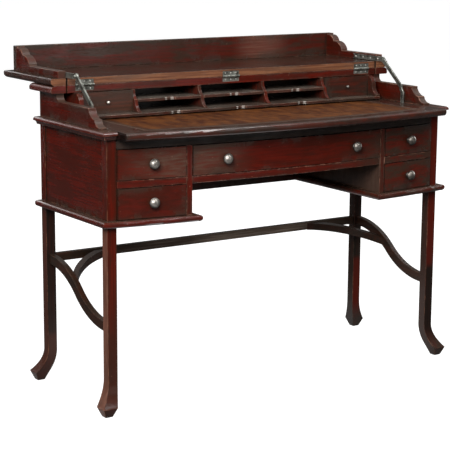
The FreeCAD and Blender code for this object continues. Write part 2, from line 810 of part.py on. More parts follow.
write("top_hinge_leaves", *[hinge_leaf(x, -1) for x in hinge_places])
write("lid_hinge_leaves", *[hinge_leaf(x, 1) for x in hinge_places])
write("hinge_pins", *hinge_pins)
write("top_hinge_nails", *hinge_nails(-1))
write("lid_hinge_nails", *hinge_nails(1))
write_both("lid_straps", strap())
write_both("strap_nails", *strap_nails())
write_both("link_pins", link_pin())
write_pair("link_arm", link_arm())

write("writing_slide", slide_board(leather_inset))
write("leather_inset", leather_inset)

write("nest_base", nest_base)
write("nest_back", nest_back)
write("nest_uprights", *nest_uprights)
write("nest_shelves", *nest_shelves)

x_knob = x_knee - centre_knob_inset
front, boards, knobs = drawer(-x_knee, x_knee, z_upper, z_frieze, box_inner_gap, box_inner_gap,
                              (-x_knob, x_knob))
write("centre_drawer_front", front)
write("centre_drawer_box", *boards)
write("centre_drawer_knobs", *knobs)

for row, z0, z1 in (("upper", z_upper, z_frieze), ("lower", z_floor, z_rail)):
    middle = (x_stile + x_leg) / 2
    front, boards, knobs = drawer(x_stile, x_leg, z0, z1, box_inner_gap, box_outer_gap, (middle,))
    write_pair(f"{row}_drawer_front", front)
    write_pair(f"{row}_drawer_box", Part.makeCompound(boards))
    write_pair(f"{row}_drawer_knob", knobs[0])

boards, pull = nest_drawer()
write_pair("nest_drawer", Part.makeCompound(boards))
write_pair("nest_drawer_knob", pull)

print("writing height", z_top, "open height", z_gallery)
print("lid axis, Y and Z:", hinge_line - y_middle, z_axis)
print("link pin, Y and Z:", y_crank - y_middle, z_crank)
print("slide travel:", slide_travel, "arm turn in degrees:", math.degrees(arm_turn))
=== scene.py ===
import math

import bpy
from mathutils import Matrix, Vector


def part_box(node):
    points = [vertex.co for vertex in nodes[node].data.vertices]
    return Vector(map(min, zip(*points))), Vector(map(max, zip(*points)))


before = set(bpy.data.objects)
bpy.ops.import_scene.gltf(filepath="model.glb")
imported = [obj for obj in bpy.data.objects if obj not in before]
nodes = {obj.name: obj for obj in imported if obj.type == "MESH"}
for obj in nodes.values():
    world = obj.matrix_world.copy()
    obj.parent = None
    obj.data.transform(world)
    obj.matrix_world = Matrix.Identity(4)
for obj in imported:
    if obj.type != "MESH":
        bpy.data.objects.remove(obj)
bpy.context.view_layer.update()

# Camera: the image is square, and its focal length is given in its own pixels
image_side = 450
focal_pixels = 1527.4
sensor_width = 36.0
camera_azimuth = -33.16
camera_elevation = 11.20
camera_roll = 0.36
camera_target = Vector((-0.1209, -0.1198, 0.450))
camera_distance = 4.284

# Edges of boards and ironwork
board_edge = 0.0012
iron_edge = 0.0005
edge_segments = 2
edge_slot = 1
sharp_angle = math.radians(32)
weld_distance = 0.00002
flat_angle = math.radians(0.4)

# Rays of the shader nodes that look round a point, and how far a rounded normal turns at an edge
look_round_samples = 6
edge_turn = 0.86

# Pieces take their patterns from places up to this far apart
piece_shift = 9.0

# Sockets of a colour Mix node: its share, its two colours and its result
mix_share, mix_first, mix_second, mix_result = 0, 6, 7, 2


def srgb(red, green, blue):
    """Linear colour of a screen colour from 0 to 255."""
    shares = [c / 255 for c in (red, green, blue)]
    return (*[c / 12.92 if c < 0.04045 else ((c + 0.055) / 1.055) ** 2.4 for c in shares], 1.0)


class Tree:
    """Node tree of a material or world, built with short calls."""

    def __init__(self, owner):
        owner.use_nodes = True
        self.nodes = owner.node_tree.nodes
        self.links = owner.node_tree.links
        self.nodes.clear()

    def add(self, kind, inputs=None, **settings):
        made = self.nodes.new("ShaderNode" + kind)
        for key, value in settings.items():
            setattr(made, key, value)
        for key, value in (inputs or {}).items():
            self.set(made.inputs[key], value)
        return made

    def set(self, socket, value):
        if isinstance(value, bpy.types.NodeSocket):
            self.links.new(value, socket)
        else:
            socket.default_value = value

    def math(self, operation, a, b=0.0, clamp=False):
        return self.add("Math", {0: a, 1: b}, operation=operation, use_clamp=clamp).outputs[0]

    def times(self, a, b):
        return self.math("MULTIPLY", a, b)

    def vector(self, operation, a, b):
        return self.add("VectorMath", {0: a, 1: b}, operation=operation).outputs[0]

    def measure(self, operation, a, b=(0, 0, 0)):
        """A number worked out from vectors."""
        return self.add("VectorMath", {0: a, 1: b}, operation=operation).outputs["Value"]

    def split(self, vector):
        """X, Y and Z of a vector."""
        return self.add("SeparateXYZ", {0: vector}).outputs

    def mix(self, share, a, b):
        made = self.add("Mix", {mix_share: share, mix_first: a, mix_second: b}, data_type="RGBA")
        return made.outputs[mix_result]

    def noise(self, vector, scale, detail=3.0, rough=0.55, distortion=0.0):
        made = self.add("TexNoise", {"Vector": vector, "Scale": scale, "Detail": detail,
                                     "Roughness": rough, "Distortion": distortion})
        return made.outputs[0]

    def figure(self, vector, grain, ratio, *pattern):
        """Noise drawn out along the grain by ratio."""
        scale = [1.0 if axis == grain else ratio for axis in "XYZ"]
        return self.noise(self.vector("MULTIPLY", vector, scale), *pattern)

    def span(self, value, low, high, to_low=0.0, to_high=1.0):
        """Value mapped from low and high to to_low and to_high, with soft ends."""
        made = self.add("MapRange", {"Value": value, "From Min": low, "From Max": high,
                                     "To Min": to_low, "To Max": to_high}, interpolation_type="SMOOTHSTEP")
        return made.outputs[0]

    def place(self, vary=True):
        """Coordinates of the part's own frame, shifted from piece to piece when vary is set."""
        own = self.add("TexCoord").outputs["Object"]
        if not vary:
            return own
        return self.vector("ADD", own, self.times(self.add("ObjectInfo").outputs["Random"], piece_shift))

    def facing(self):
        """The way that a face looks, in the part's own frame."""
        return self.add("TexCoord").outputs["Normal"]

    def near_edges(self, reach):
        """1 beside the piece's edges, falling to 0 at about the reach."""
        rounded = self.add("Bevel", {"Radius": reach}, samples=look_round_samples).outputs[0]
        own = self.add("NewGeometry").outputs["Normal"]
        return self.span(self.measure("DOT_PRODUCT", rounded, own), 1.0, edge_turn)

    def crevice(self, reach):
        """1 in the open and 0 deep in a corner."""
        return self.add("AmbientOcclusion", {"Distance": reach}, samples=look_round_samples).outputs["AO"]

    def bump(self, height, strength, distance):
        return self.add("Bump", {"Height": height, "Strength": strength, "Distance": distance}).outputs[0]

    def surface(self, **inputs):
        """Closes the tree with a shader."""
        names = {key.replace("_", " ").title().replace("Ior", "IOR"): value for key, value in inputs.items()}
        shader = self.add("BsdfPrincipled", names)
        self.add("OutputMaterial", {"Surface": shader.outputs[0]})


def material(name):
    made = bpy.data.materials.new(name)
    return made, Tree(made)


# Woods. Heart and streak are the two ends of the grain and deep the dark figure, then come the old dirt near
# the edges, whose colour also paints shade into the corners, wear the rubbed edges, a painted sheen on level
# faces and low the colour of the lower legs.
# Dull is the share of the dark figure, reach how far the dirt runs in from an edge, shine the strength of
# the polish and relief the strength of the grain's relief.
usual_shine = 0.4
usual_relief = 0.3
tones = {
    "red": {"heart": srgb(88, 20, 9), "streak": srgb(70, 18, 9), "deep": srgb(52, 21, 12),
            "dirt_and_shade": srgb(50, 40, 31), "wear": srgb(168, 118, 96), "level_sheen": srgb(70, 54, 44), "dull": 0.55,
            "reach": 0.045, "shine": 0.28},
    "dull": {"heart": srgb(84, 23, 12), "streak": srgb(64, 26, 16), "deep": srgb(52, 38, 29),
             "dirt_and_shade": srgb(44, 37, 30), "wear": srgb(124, 92, 76), "level_sheen": srgb(70, 57, 49), "dull": 0.9,
             "reach": 0.045},
    "dark": {"heart": srgb(74, 30, 21), "streak": srgb(54, 27, 20), "deep": srgb(46, 32, 26),
             "dirt_and_shade": srgb(48, 40, 33), "wear": srgb(132, 102, 86), "level_sheen": srgb(56, 39, 30), "dull": 0.85,
             "reach": 0.03, "shine": 0.22},
    "slide": {"heart": srgb(76, 30, 20), "streak": srgb(56, 30, 22), "deep": srgb(44, 33, 27),
              "dirt_and_shade": srgb(44, 37, 31), "wear": srgb(150, 118, 102), "level_sheen": srgb(60, 47, 40), "dull": 0.8,
              "reach": 0.02, "relief": 0.12},
    # Greyish brown of dust together with a painted sheen, for the left nest drawer
    "dusty": {"heart": srgb(72, 38, 26), "streak": srgb(56, 34, 24), "deep": srgb(48, 35, 27),
              "dirt_and_shade": srgb(50, 43, 36), "wear": srgb(150, 130, 114), "level_sheen": srgb(76, 62, 54), "dull": 0.6,
              "reach": 0.02},
    "leg": {"heart": srgb(90, 20, 9), "streak": srgb(70, 19, 10), "deep": srgb(50, 24, 15),
            "dirt_and_shade": srgb(44, 35, 27), "wear": srgb(120, 78, 58), "level_sheen": srgb(60, 48, 40), "dull": 0.5,
            "reach": 0.012, "low": srgb(56, 34, 25), "shine": 0.15},
    "brace": {"heart": srgb(58, 33, 23), "streak": srgb(46, 30, 22), "deep": srgb(38, 30, 23),
              "dirt_and_shade": srgb(36, 31, 25), "wear": srgb(96, 66, 50), "level_sheen": srgb(54, 42, 34), "dull": 0.7,
              "reach": 0.008, "shine": 0.2},
    "frieze": {"heart": srgb(58, 44, 37), "streak": srgb(46, 36, 31), "deep": srgb(38, 31, 27),
               "dirt_and_shade": srgb(24, 21, 18), "wear": srgb(70, 56, 48), "level_sheen": srgb(30, 25, 21), "dull": 0.5,
               "reach": 0.01},
    "lining": {"heart": srgb(140, 104, 70), "streak": srgb(108, 76, 48), "deep": srgb(92, 64, 42),
               "dirt_and_shade": srgb(70, 52, 38), "wear": srgb(160, 126, 90), "level_sheen": srgb(130, 100, 70), "dull": 0.4,
               "reach": 0.02},
}
tones["backing"] = dict(tones["brace"], heart=srgb(52, 28, 20), streak=srgb(40, 25, 18),
                        deep=srgb(32, 24, 19))
tones["divider"] = dict(tones["dark"], heart=srgb(92, 28, 17), streak=srgb(70, 26, 17),
                        deep=srgb(50, 28, 21), shine=0.12)
# The shelves and the nest's base take a paler painted sheen on their level faces
tones["shelf"] = dict(tones["dark"], heart=srgb(84, 46, 37), streak=srgb(66, 41, 34),
                      deep=srgb(48, 36, 30), level_sheen=srgb(112, 104, 95))
tones["nest_base"] = dict(tones["dark"], level_sheen=srgb(96, 87, 78))
# Darker copy of red for the lower left drawer front: painted shade
tones["low_red"] = dict(tones["red"], heart=srgb(80, 21, 12), streak=srgb(64, 20, 12))
tones["moulding"] = dict(tones["red"], reach=0.012, shine=usual_shine)
# Darker copy of the legs' tone for the right legs: painted shade
tones["right_leg"] = dict(tones["leg"], deep=srgb(40, 31, 24), dull=0.9, low=srgb(48, 35, 27))
tones["gallery"] = dict(tones["dull"], heart=srgb(76, 22, 13), streak=srgb(58, 24, 16),
                        deep=srgb(50, 35, 27))

# Patterns of the woods. Those along the grain begin with the ratio by which they are drawn out, and then each
# has the scale of its noise, and its detail, roughness and distortion where these are set.
fine_grain = (30.0, 6.0, 7.0, 0.66, 0.1)
broad_figure = (6.0, 5.5, 6.0, 0.68, 0.25)
pore_grain = (22.0, 70.0, 2.0)
cloud_noise = (12.0, 4.0, 0.62)
worn_noise = (34.0, 4.0, 0.7)
chip_noise = (130.0, 2.0)

# Values of a pattern, or of the way that a face looks, between which something fades in. The shares at both
# follow where they are not 0 and 1.
fine_limits = (0.38, 0.62)
figure_limits = (0.46, 0.58)
pore_limits = (0.6, 0.72)
patch_limits = (0.42, 0.6)
worn_limits = (0.46, 0.64, 0.05, 0.7)
chip_limits = (0.74, 0.78, 0.0, 0.45)
# The next two give the level faces and the clouds through which a painted sheen lies on them
level_limits = (0.8, 0.97)
level_sheen_limits = (0.3, 0.65, 0.45, 0.9)
corner_dirt_and_shade_limits = (0.25, 0.85, 0.75, 0.0)
rough_limits = (0.35, 0.7, 0.14, 0.27)
upward_limits = (0.2, 0.6)
forward_limits = (-0.6, -0.9)
sideways_limits = (0.6, 0.9)

# Pores, the dirt close to an edge and further in, the dirt with painted shade in the corners, and the relief
# of the wood. The reach of the close dirt is a share of the tone's own reach.
pore_share = 0.35
close_dirt_share = 0.95
wide_dirt_share = 0.75
close_dirt_reach = 0.22
dirt_roughness = 0.16
crevice_reach = 0.022
fine_relief = 0.4
cloud_relief = 0.5
wood_relief_depth = 0.0006

# Finger notches in the fronts of the nest's shelves and base: one at the middle and one at each side of it.
# Their corners get painted glints.
notch_spacing = 0.217
notch_half_width = 0.010
notch_corner = (0.0055, 0.002)
notch_forward = (-0.2, -0.6)
notch_edge = 0.004
notch_edge_limits = (0.0, 0.5, 0.2, 1.0)
notch_glint_colour = srgb(228, 222, 212)

# The legs are red above the first height and dull below the second one. Their sides get painted light and
# shade of their own below the first height, and their fronts above the foot.
leg_red_above = 0.51
leg_dull_below = 0.1
leg_dull_share = 0.75
side_figure = (0.4, 0.56, 0.96, 0.55)
front_grain = (0.3, 0.6, 1.0, 0.75)
front_blend = 0.012
foot_from_to = (0.03, 0.09)

# Pieces of these tones grow dull towards the right below the writing surface
dulled_tones = ("red", "moulding")
dull_from_to = (0.12, 0.36)
dull_figure = (0.36, 0.54, 0.2)
dull_below = 0.735
dull_share = 0.85
dull_colour = srgb(54, 39, 30)

# Painted shade of the gaps round the drawers, on the edges of their fronts
gap_shade_width = 0.0035
gap_shade_share = 0.85
gap_shade_colour = srgb(20, 13, 10)

# Sawn outline of the scrolled boards
sawn_limits = (0.75, 0.4, 0.0, 0.85)
sawn_clouds = (0.3, 0.6, 0.5, 1.0)
sawn_roughness = 0.5
sawn_colour = srgb(66, 48, 39)

# Bare wood: dark and pale grain, grey figure and pores
bare_dark = srgb(94, 57, 40)
bare_pale = srgb(130, 86, 60)
bare_grey = srgb(92, 72, 59)
bare_figure = (0.46, 0.66, 0.0, 0.6)
bare_pore_share = 0.7

# Spots of painted light on faces that look forward, a sheen on the drawers and the gallery and light on the
# rear stretcher: place, spread sideways, in depth and up, and colour
drawer_sheen = ((-0.33, 0.0, 0.675), (0.23, 10.0, 0.11), srgb(94, 72, 60))
gallery_sheen = ((0.28, 0.0, 0.93), (0.12, 10.0, 0.2), srgb(112, 74, 62))
stretcher_light = ((0.08, 0.38, 0.37), (0.5, 10.0, 0.2), srgb(164, 146, 130))
light_spot_fall = (1.0, 0.2)
light_spot_grain = (0.3, 0.62, 0.85, 0.3)
light_spot_forward = (-0.3, -0.7)


class Wood:
    """Polished wood of one tone, built up layer by layer."""

    def __init__(self, name, tone, grain):
        self.material, self.tree = material(name)
        tree = self.tree
        self.tone = tones[tone]
        self.place = tree.place()
        self.own = tree.split(tree.place(False))
        self.facing = tree.split(tree.facing())
        self.fine = tree.figure(self.place, grain, *fine_grain)
        self.broad = tree.figure(self.place, grain, *broad_figure)
        self.cloud = tree.noise(self.place, *cloud_noise)
        self.pores = tree.span(tree.figure(self.place, grain, *pore_grain), *pore_limits)
        self.colour = tree.mix(tree.span(self.fine, *fine_limits), self.tone["streak"], self.tone["heart"])
        self.rough = tree.span(self.cloud, *rough_limits)

    def lay(self, share, colour):
        """Lays a share of a colour over the colour so far."""
        self.colour = self.tree.mix(share, self.colour, colour)

    def figure(self):
        """Dark figure and pores, and the dull lower part of a leg."""
        tree, tone = self.tree, self.tone
        self.lay(tree.span(self.broad, *figure_limits, 0.0, tone["dull"]), tone["deep"])
        self.lay(tree.times(self.pores, pore_share), tone["deep"])
        if "low" in tone:
            self.lay(tree.span(self.own[2], leg_red_above, leg_dull_below, 0.0, leg_dull_share), tone["low"])

    def dull_right(self):
        """Dull colour that grows towards the right."""
        tree = self.tree
        share = tree.times(tree.span(self.own[0], *dull_from_to), tree.span(self.broad, *dull_figure))
        share = tree.times(share, tree.math("LESS_THAN", self.own[2], dull_below))
        self.lay(tree.times(share, dull_share), dull_colour)

    def haze(self, middle, spread, colour):
        """Spot of painted light on the faces that look forward."""
        tree = self.tree
        away = tree.vector("DIVIDE", tree.vector("SUBTRACT", tree.place(False), middle), spread)
        share = tree.span(tree.measure("LENGTH", away), *light_spot_fall)
        share = tree.times(share, tree.span(self.fine, *light_spot_grain))
        self.lay(tree.times(share, tree.span(self.facing[1], *light_spot_forward)), colour)

    def level_sheen(self):
        """Painted sheen on level faces."""
        level = self.tree.span(self.facing[2], *level_limits)
        self.lay(self.tree.times(level, self.tree.span(self.cloud, *level_sheen_limits)), self.tone["level_sheen"])

    def dirt(self):
        """Old dirt beside the edges, which also dulls the polish, and dirt with painted shade in the corners.
        """
        tree, tone = self.tree, self.tone
        patches = tree.span(self.cloud, *patch_limits)
        beside = tree.near_edges(tone["reach"] * close_dirt_reach)
        close = tree.times(beside, tree.times(patches, close_dirt_share))
        wide = tree.times(tree.near_edges(tone["reach"]), tree.times(patches, wide_dirt_share))
        share = tree.math("MAXIMUM", close, wide)
        self.lay(share, tone["dirt_and_shade"])
        # Dirt and painted shade in the corners
        self.lay(tree.span(tree.crevice(crevice_reach), *corner_dirt_and_shade_limits), tone["dirt_and_shade"])
        self.rough = tree.math("ADD", self.rough, tree.times(share, dirt_roughness))

    def sides(self, colour):
        """Painted light and shade on the faces that look sideways, on a leg only below its red part."""
        tree = self.tree
        share = tree.span(tree.math("ABSOLUTE", self.facing[0]), *sideways_limits)
        share = tree.times(share, tree.span(self.broad, *side_figure))
        if "low" in self.tone:
            share = tree.times(share, tree.math("LESS_THAN", self.own[2], leg_red_above))
        self.lay(share, colour)

    def paint_front_shading(self, part_height, above, below):
        """Painted light and shade on the faces that look forward: two colours parted at a height."""
        tree = self.tree
        share = tree.times(tree.span(self.facing[1], *forward_limits), tree.span(self.fine, *front_grain))
        share = tree.times(share, tree.span(self.own[2], *foot_from_to))
        blend = tree.span(self.own[2], part_height - front_blend, part_height + front_blend)
        self.lay(share, tree.mix(blend, below, above))

    def sawn(self):
        """Pale rough outline of an upright board."""
        tree = self.tree
        share = tree.span(tree.math("ABSOLUTE", self.facing[0]), *sawn_limits)
        self.lay(tree.times(share, tree.span(self.cloud, *sawn_clouds)), sawn_colour)
        self.rough = tree.math("MAXIMUM", self.rough, tree.times(share, sawn_roughness))

    def paint_gap_shade(self):
        """Painted shade on the edges beside the gaps round a drawer."""
        self.lay(self.tree.times(self.tree.near_edges(gap_shade_width), gap_shade_share), gap_shade_colour)

    def wear(self, outlined):
        """Rubbed edges, and on a drawer front only the upper one, with painted shade on the rest."""
        tree = self.tree
        share = tree.span(tree.noise(self.place, *worn_noise), *worn_limits)
        if outlined:
            upward = tree.span(self.facing[2], *upward_limits)
            self.colour = tree.mix(upward, gap_shade_colour, self.colour)
            share = tree.times(share, upward)
        self.lay(share, self.tone["wear"])

    def bare(self, depth):
        """Open grain without polish, ahead of a depth."""
        tree = self.tree
        open_grain = tree.mix(tree.span(self.fine, *fine_limits), bare_dark, bare_pale)
        open_grain = tree.mix(tree.span(self.broad, *bare_figure), open_grain, bare_grey)
        open_grain = tree.mix(tree.times(self.pores, bare_pore_share), open_grain, self.tone["dirt_and_shade"])
        self.lay(tree.math("LESS_THAN", self.own[1], depth), open_grain)

    def paint_notch_glints(self):
        """Painted glints on the corners of the finger notches."""
        tree = self.tree
        along = tree.math("ABSOLUTE", self.own[0])
        from_side_notch = tree.math("ABSOLUTE", tree.math("SUBTRACT", along, notch_spacing))
        from_notch = tree.math("MINIMUM", along, from_side_notch)
        off = tree.math("ABSOLUTE", tree.math("SUBTRACT", from_notch, notch_half_width))
        share = tree.times(tree.span(off, *notch_corner), tree.span(self.facing[1], *notch_forward))
        self.lay(tree.times(share, tree.span(tree.near_edges(notch_edge), *notch_edge_limits)), notch_glint_colour)

    def chips(self):
        """Small pale chips all over."""
        self.lay(self.tree.span(self.tree.noise(self.place, *chip_noise), *chip_limits), self.tone["wear"])

    def finish(self):
        """Closes the tree with the relief of the grain, and gives the material."""
        tree = self.tree
        relief = tree.math("SUBTRACT", tree.times(self.fine, fine_relief), self.pores)
        relief = tree.math("ADD", relief, tree.times(self.cloud, cloud_relief))
        bump = tree.bump(relief, self.tone.get("relief", usual_relief), wood_relief_depth)
        tree.surface(base_color=self.colour, roughness=self.rough, normal=bump,
                     specular_ior_level=self.tone.get("shine", usual_shine))
        return self.material


def wood(name, tone, grain, edge=False, bare=None, rim=False, haze=None, side=None, front=None, rubbed=False,
         outlined=False):
    """Polished wood. An edge is worn, bare is the depth ahead of which the polish is gone, rim pales the sawn
    outline of an upright board, and the other marks are painted: a spot of light on the faces that look
    forward, side light and shade on the faces that look sideways, front light and shade on the faces that
    look forward parted at a height, glints on the corners of the finger notches, and shade on the edges of a
    drawer front but the upper one."""
    made = Wood(name, tone, grain)
    made.figure()
    if tone in dulled_tones:
        made.dull_right()
    if haze is not None:
        made.haze(*haze)
    made.level_sheen()
    made.dirt()
    if side is not None:
        made.sides(side)
    if front is not None:
        made.paint_front_shading(*front)
    if rim:
        made.sawn()
    if outlined:
        made.paint_gap_shade()
    if edge:
        made.wear(outlined)
    if bare is not None:
        made.bare(bare)
    if rubbed:
        made.paint_notch_glints()
    made.chips()
    return made.finish()


# Leather: its patterns, its colours, and the border with its tooled lines, which follow the bowed front edge
leather_low, leather_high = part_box("leather_inset")
leather_corner = min(v.co.y for v in nodes["leather_inset"].data.vertices
                     if v.co.x > leather_high.x - weld_distance)
hide_clouds = (3.0, 14.0, 7.0, 0.72, 0.4)
hide_stains = (2.4, 40.0, 4.0, 0.65)
hide_limits = (0.36, 0.64)
hide_stain_limits = (0.48, 0.68, 0.0, 0.65)
hide_dark = srgb(58, 25, 9)
hide_pale = srgb(100, 57, 21)
hide_stain = srgb(60, 36, 20)
tooling_inset = 0.017
tooling_spacing = 0.0045
tooling_width = 0.0011
tooling_share = 0.8
tooling_depth = 2.0
tooling_colour = srgb(36, 24, 17)
border_limits = (0.0192, 0.0128, 0.0, 0.9)
border_colour = srgb(58, 42, 33)
leather_rim_limits = (0.003, 0.0018, 0.0, 0.85)
leather_rim_colour = srgb(112, 90, 76)
hide_shadow_reach = 0.035
hide_shadow_limits = (0.2, 0.8, 0.85, 0.0)
hide_shadow = srgb(16, 9, 5)
crease_scale = 420.0
crease_limits = (0.0, 0.12)
hide_rough_limits = (0.3, 0.7, 0.38, 0.58)
hide_relief = 0.3
hide_relief_depth = 0.0005
hide_shine = 0.1


def leather():
    """Mottled brown hide with a tooled double line inside its border."""
    made, tree = material("old_leather")
    place = tree.place(False)
    clouds = tree.figure(place, "Y", *hide_clouds)
    stains = tree.figure(place, "Y", *hide_stains)
    base = tree.mix(tree.span(clouds, *hide_limits), hide_dark, hide_pale)
    base = tree.mix(tree.span(stains, *hide_stain_limits), base, hide_stain)
    own = tree.split(place)
    to_side = tree.math("SUBTRACT", leather_high.x, tree.math("ABSOLUTE", own[0]))
    to_back = tree.math("SUBTRACT", leather_high.y, own[1])
    rise = leather_corner - leather_low.y
    radius = (leather_high.x ** 2 + rise ** 2) / (2 * rise)
    bow_centre = (0.0, leather_low.y + radius, leather_high.z)
    to_front = tree.math("SUBTRACT", radius, tree.measure("DISTANCE", place, bow_centre))
    inset = tree.math("MINIMUM", tree.math("MINIMUM", to_side, to_back), to_front)
    tooled = 0.0
    for line_inset in (tooling_inset, tooling_inset + tooling_spacing):
        off = tree.math("ABSOLUTE", tree.math("SUBTRACT", inset, line_inset))
        tooled = tree.math("ADD", tooled, tree.span(off, tooling_width, 0.0), clamp=True)
    base = tree.mix(tree.span(inset, *border_limits), base, border_colour)
    base = tree.mix(tree.times(tooled, tooling_share), base, tooling_colour)
    base = tree.mix(tree.span(inset, *leather_rim_limits), base, leather_rim_colour)
    base = tree.mix(tree.span(tree.crevice(hide_shadow_reach), *hide_shadow_limits), base, hide_shadow)
    cells = tree.add("TexVoronoi", {"Vector": place, "Scale": crease_scale}, feature="DISTANCE_TO_EDGE")
    relief = tree.math("ADD", tree.span(cells.outputs[0], *crease_limits), stains)
    relief = tree.math("SUBTRACT", relief, tree.times(tooled, tooling_depth))
    rough = tree.span(clouds, *hide_rough_limits)
    bump = tree.bump(relief, hide_relief, hide_relief_depth)
    tree.surface(base_color=base, roughness=rough, normal=bump, specular_ior_level=hide_shine)
    return made


# Iron: patches, pits and rust, and the edges that are rubbed bright
iron_clouds = (60.0, 4.0, 0.6)
iron_pits = (260.0, 3.0, 0.6)
iron_rust = (95.0, 3.0)
iron_limits = (0.36, 0.64)
rust_limits = (0.58, 0.7, 0.0, 0.6)
iron_edge_reach = 0.003
iron_edge_share = 0.5
iron_edge_colour = srgb(186, 186, 178)
iron_rough_limits = (0.3, 0.7, 0.34, 0.62)
iron_hammering = 1.5
iron_relief = 0.5
iron_relief_depth = 0.0008
iron_metallic = 0.85


def iron(name, pale, dark, rust):
    """Hammered iron, worn bright on its edges and rusted in spots."""
    made, tree = material(name)
    place = tree.place()
    clouds = tree.noise(place, *iron_clouds)
    pits = tree.noise(place, *iron_pits)
    base = tree.mix(tree.span(clouds, *iron_limits), dark, pale)
    base = tree.mix(tree.span(tree.noise(place, *iron_rust), *rust_limits), base, rust)
    base = tree.mix(tree.times(tree.near_edges(iron_edge_reach), iron_edge_share), base, iron_edge_colour)
    rough = tree.span(pits, *iron_rough_limits)
    relief = tree.math("ADD", tree.times(clouds, iron_hammering), pits)
    bump = tree.bump(relief, iron_relief, iron_relief_depth)
    tree.surface(base_color=base, metallic=iron_metallic, roughness=rough, normal=bump)
    return made


# Knobs: patches and small marks, a colour that darkens them towards the right, the way that the head faces
# where it is painted lit, with painted shade on the flanks turned away, and painted shade in the neck
knob_clouds = (120.0, 4.0, 0.6)
knob_marks = (500.0, 2.0)
knob_limits = (0.38, 0.66)
rightward_dark_limits = (0.0, 0.3, 0.0, 0.75)
rightward_dark_colour = srgb(74, 68, 62)
knob_lit_way = Vector((-0.3, -0.85, 0.43))
flank_shade_limits = (0.72, 0.2)
flank_shade_colour = srgb(34, 30, 27)
neck_reach = 0.02
neck_shade_limits = (0.3, 0.75, 0.9, 0.0)
neck_shade_colour = srgb(30, 28, 26)
knob_rough_limits = (0.3, 0.7, 0.36, 0.5)
knob_relief = 0.25
knob_relief_depth = 0.0003
knob_metallic = 0.8


def knob_metal(name, pale, dark):
    """Cast metal knob, darker towards the right, with painted light on its head and painted shade on its
    flanks and neck.
    """
    made, tree = material(name)
    place = tree.place()
    clouds = tree.noise(place, *knob_clouds)
    base = tree.mix(tree.span(clouds, *knob_limits), dark, pale)
    base = tree.mix(tree.span(tree.split(tree.place(False))[0], *rightward_dark_limits), base, rightward_dark_colour)
    rubbed = tree.measure("DOT_PRODUCT", tree.facing(), knob_lit_way)
    base = tree.mix(tree.span(rubbed, *flank_shade_limits), base, flank_shade_colour)
    base = tree.mix(tree.span(tree.crevice(neck_reach), *neck_shade_limits), base, neck_shade_colour)
    rough = tree.span(clouds, *knob_rough_limits)
    bump = tree.bump(tree.noise(place, *knob_marks), knob_relief, knob_relief_depth)
    tree.surface(base_color=base, metallic=knob_metallic, roughness=rough, normal=bump)
    return made


# Finish and grain of each piece. A key matches the nodes whose names start with it, the first that does.
wood_pieces = {
    "leg_front_right": ("right_leg", "Z"), "leg_back_right": ("right_leg", "Z"), "leg_": ("leg", "Z"),
    "rear_stretcher": ("brace", "X"), "side_stretcher": ("brace", "Y"), "corner_braces": ("brace", "X"),
    "pedestal_bottoms": ("moulding", "X"), "side_panels": ("red", "Y"), "kneehole_panels": ("moulding", "Z"),
    "back_panel": ("dark", "X"), "front_rails": ("moulding", "X"), "frieze_rail": ("frieze", "X"),
    "drawer_runners": ("lining", "Y"), "slide_bearers": ("lining", "Y"), "top_rail": ("moulding", "Y"),
    "cheek": ("red", "Y"), "top_board": ("moulding", "X"), "lid_leaf": ("dark", "X"),
    "gallery_board": ("gallery", "X"), "lid_wing": ("red", "Y"), "writing_slide": ("slide", "X"),
    "nest_base": ("nest_base", "X"), "nest_back": ("backing", "X"), "nest_uprights": ("divider", "Z"),
    "nest_shelves": ("shelf", "X"), "centre_drawer_front": ("red", "X"), "centre_drawer_box": ("lining", "Y"),
    "upper_drawer_front_right": ("dull", "X"), "upper_drawer_front": ("red", "X"),
    "lower_drawer_front_right": ("dull", "X"), "lower_drawer_front": ("low_red", "X"),
    "upper_drawer_box": ("lining", "Y"), "lower_drawer_box": ("lining", "Y"),
    "nest_drawer_left": ("dusty", "X"), "nest_drawer_right": ("dark", "X"),
}
rimmed_pieces = ("cheek", "lid_wing")
glinted_pieces = ("nest_shelves", "nest_base")
nail_pieces = ("top_hinge_nails", "lid_hinge_nails", "strap_nails")
iron_pieces = ("top_hinge", "lid_hinge", "hinge_pins", "lid_straps", "link_pins", "link_arm")
# Spots of painted light: a sheen on two drawer fronts and the gallery, and light on the rear stretcher
light_spots = {"upper_drawer_front_left": drawer_sheen, "centre_drawer_front": drawer_sheen,
         "gallery_board": gallery_sheen, "rear_stretcher": stretcher_light}
# Painted light and shade on the faces that look sideways: light on the kneehole panels and the front left
# leg, shade on the other legs and on the writing slide's end grain
painted_side_shading = {"kneehole_panels": srgb(76, 58, 48), "writing_slide": srgb(12, 10, 9),
                "leg_front_left": srgb(122, 82, 67), "leg_back_left": srgb(76, 46, 37),
                "leg_front_right": srgb(56, 39, 32), "leg_back_right": srgb(42, 35, 30)}

# Painted light and shade on the fronts of the legs: the height that parts the upper colour from the lower
# one, and both colours
painted_front_shading = {"leg_back_left": (0.14, srgb(28, 23, 19), srgb(62, 36, 28)),
                 "leg_front_right": (0.278, srgb(74, 20, 12), srgb(24, 19, 16)),
                 "leg_back_right": (0.235, srgb(34, 28, 23), srgb(78, 22, 14))}


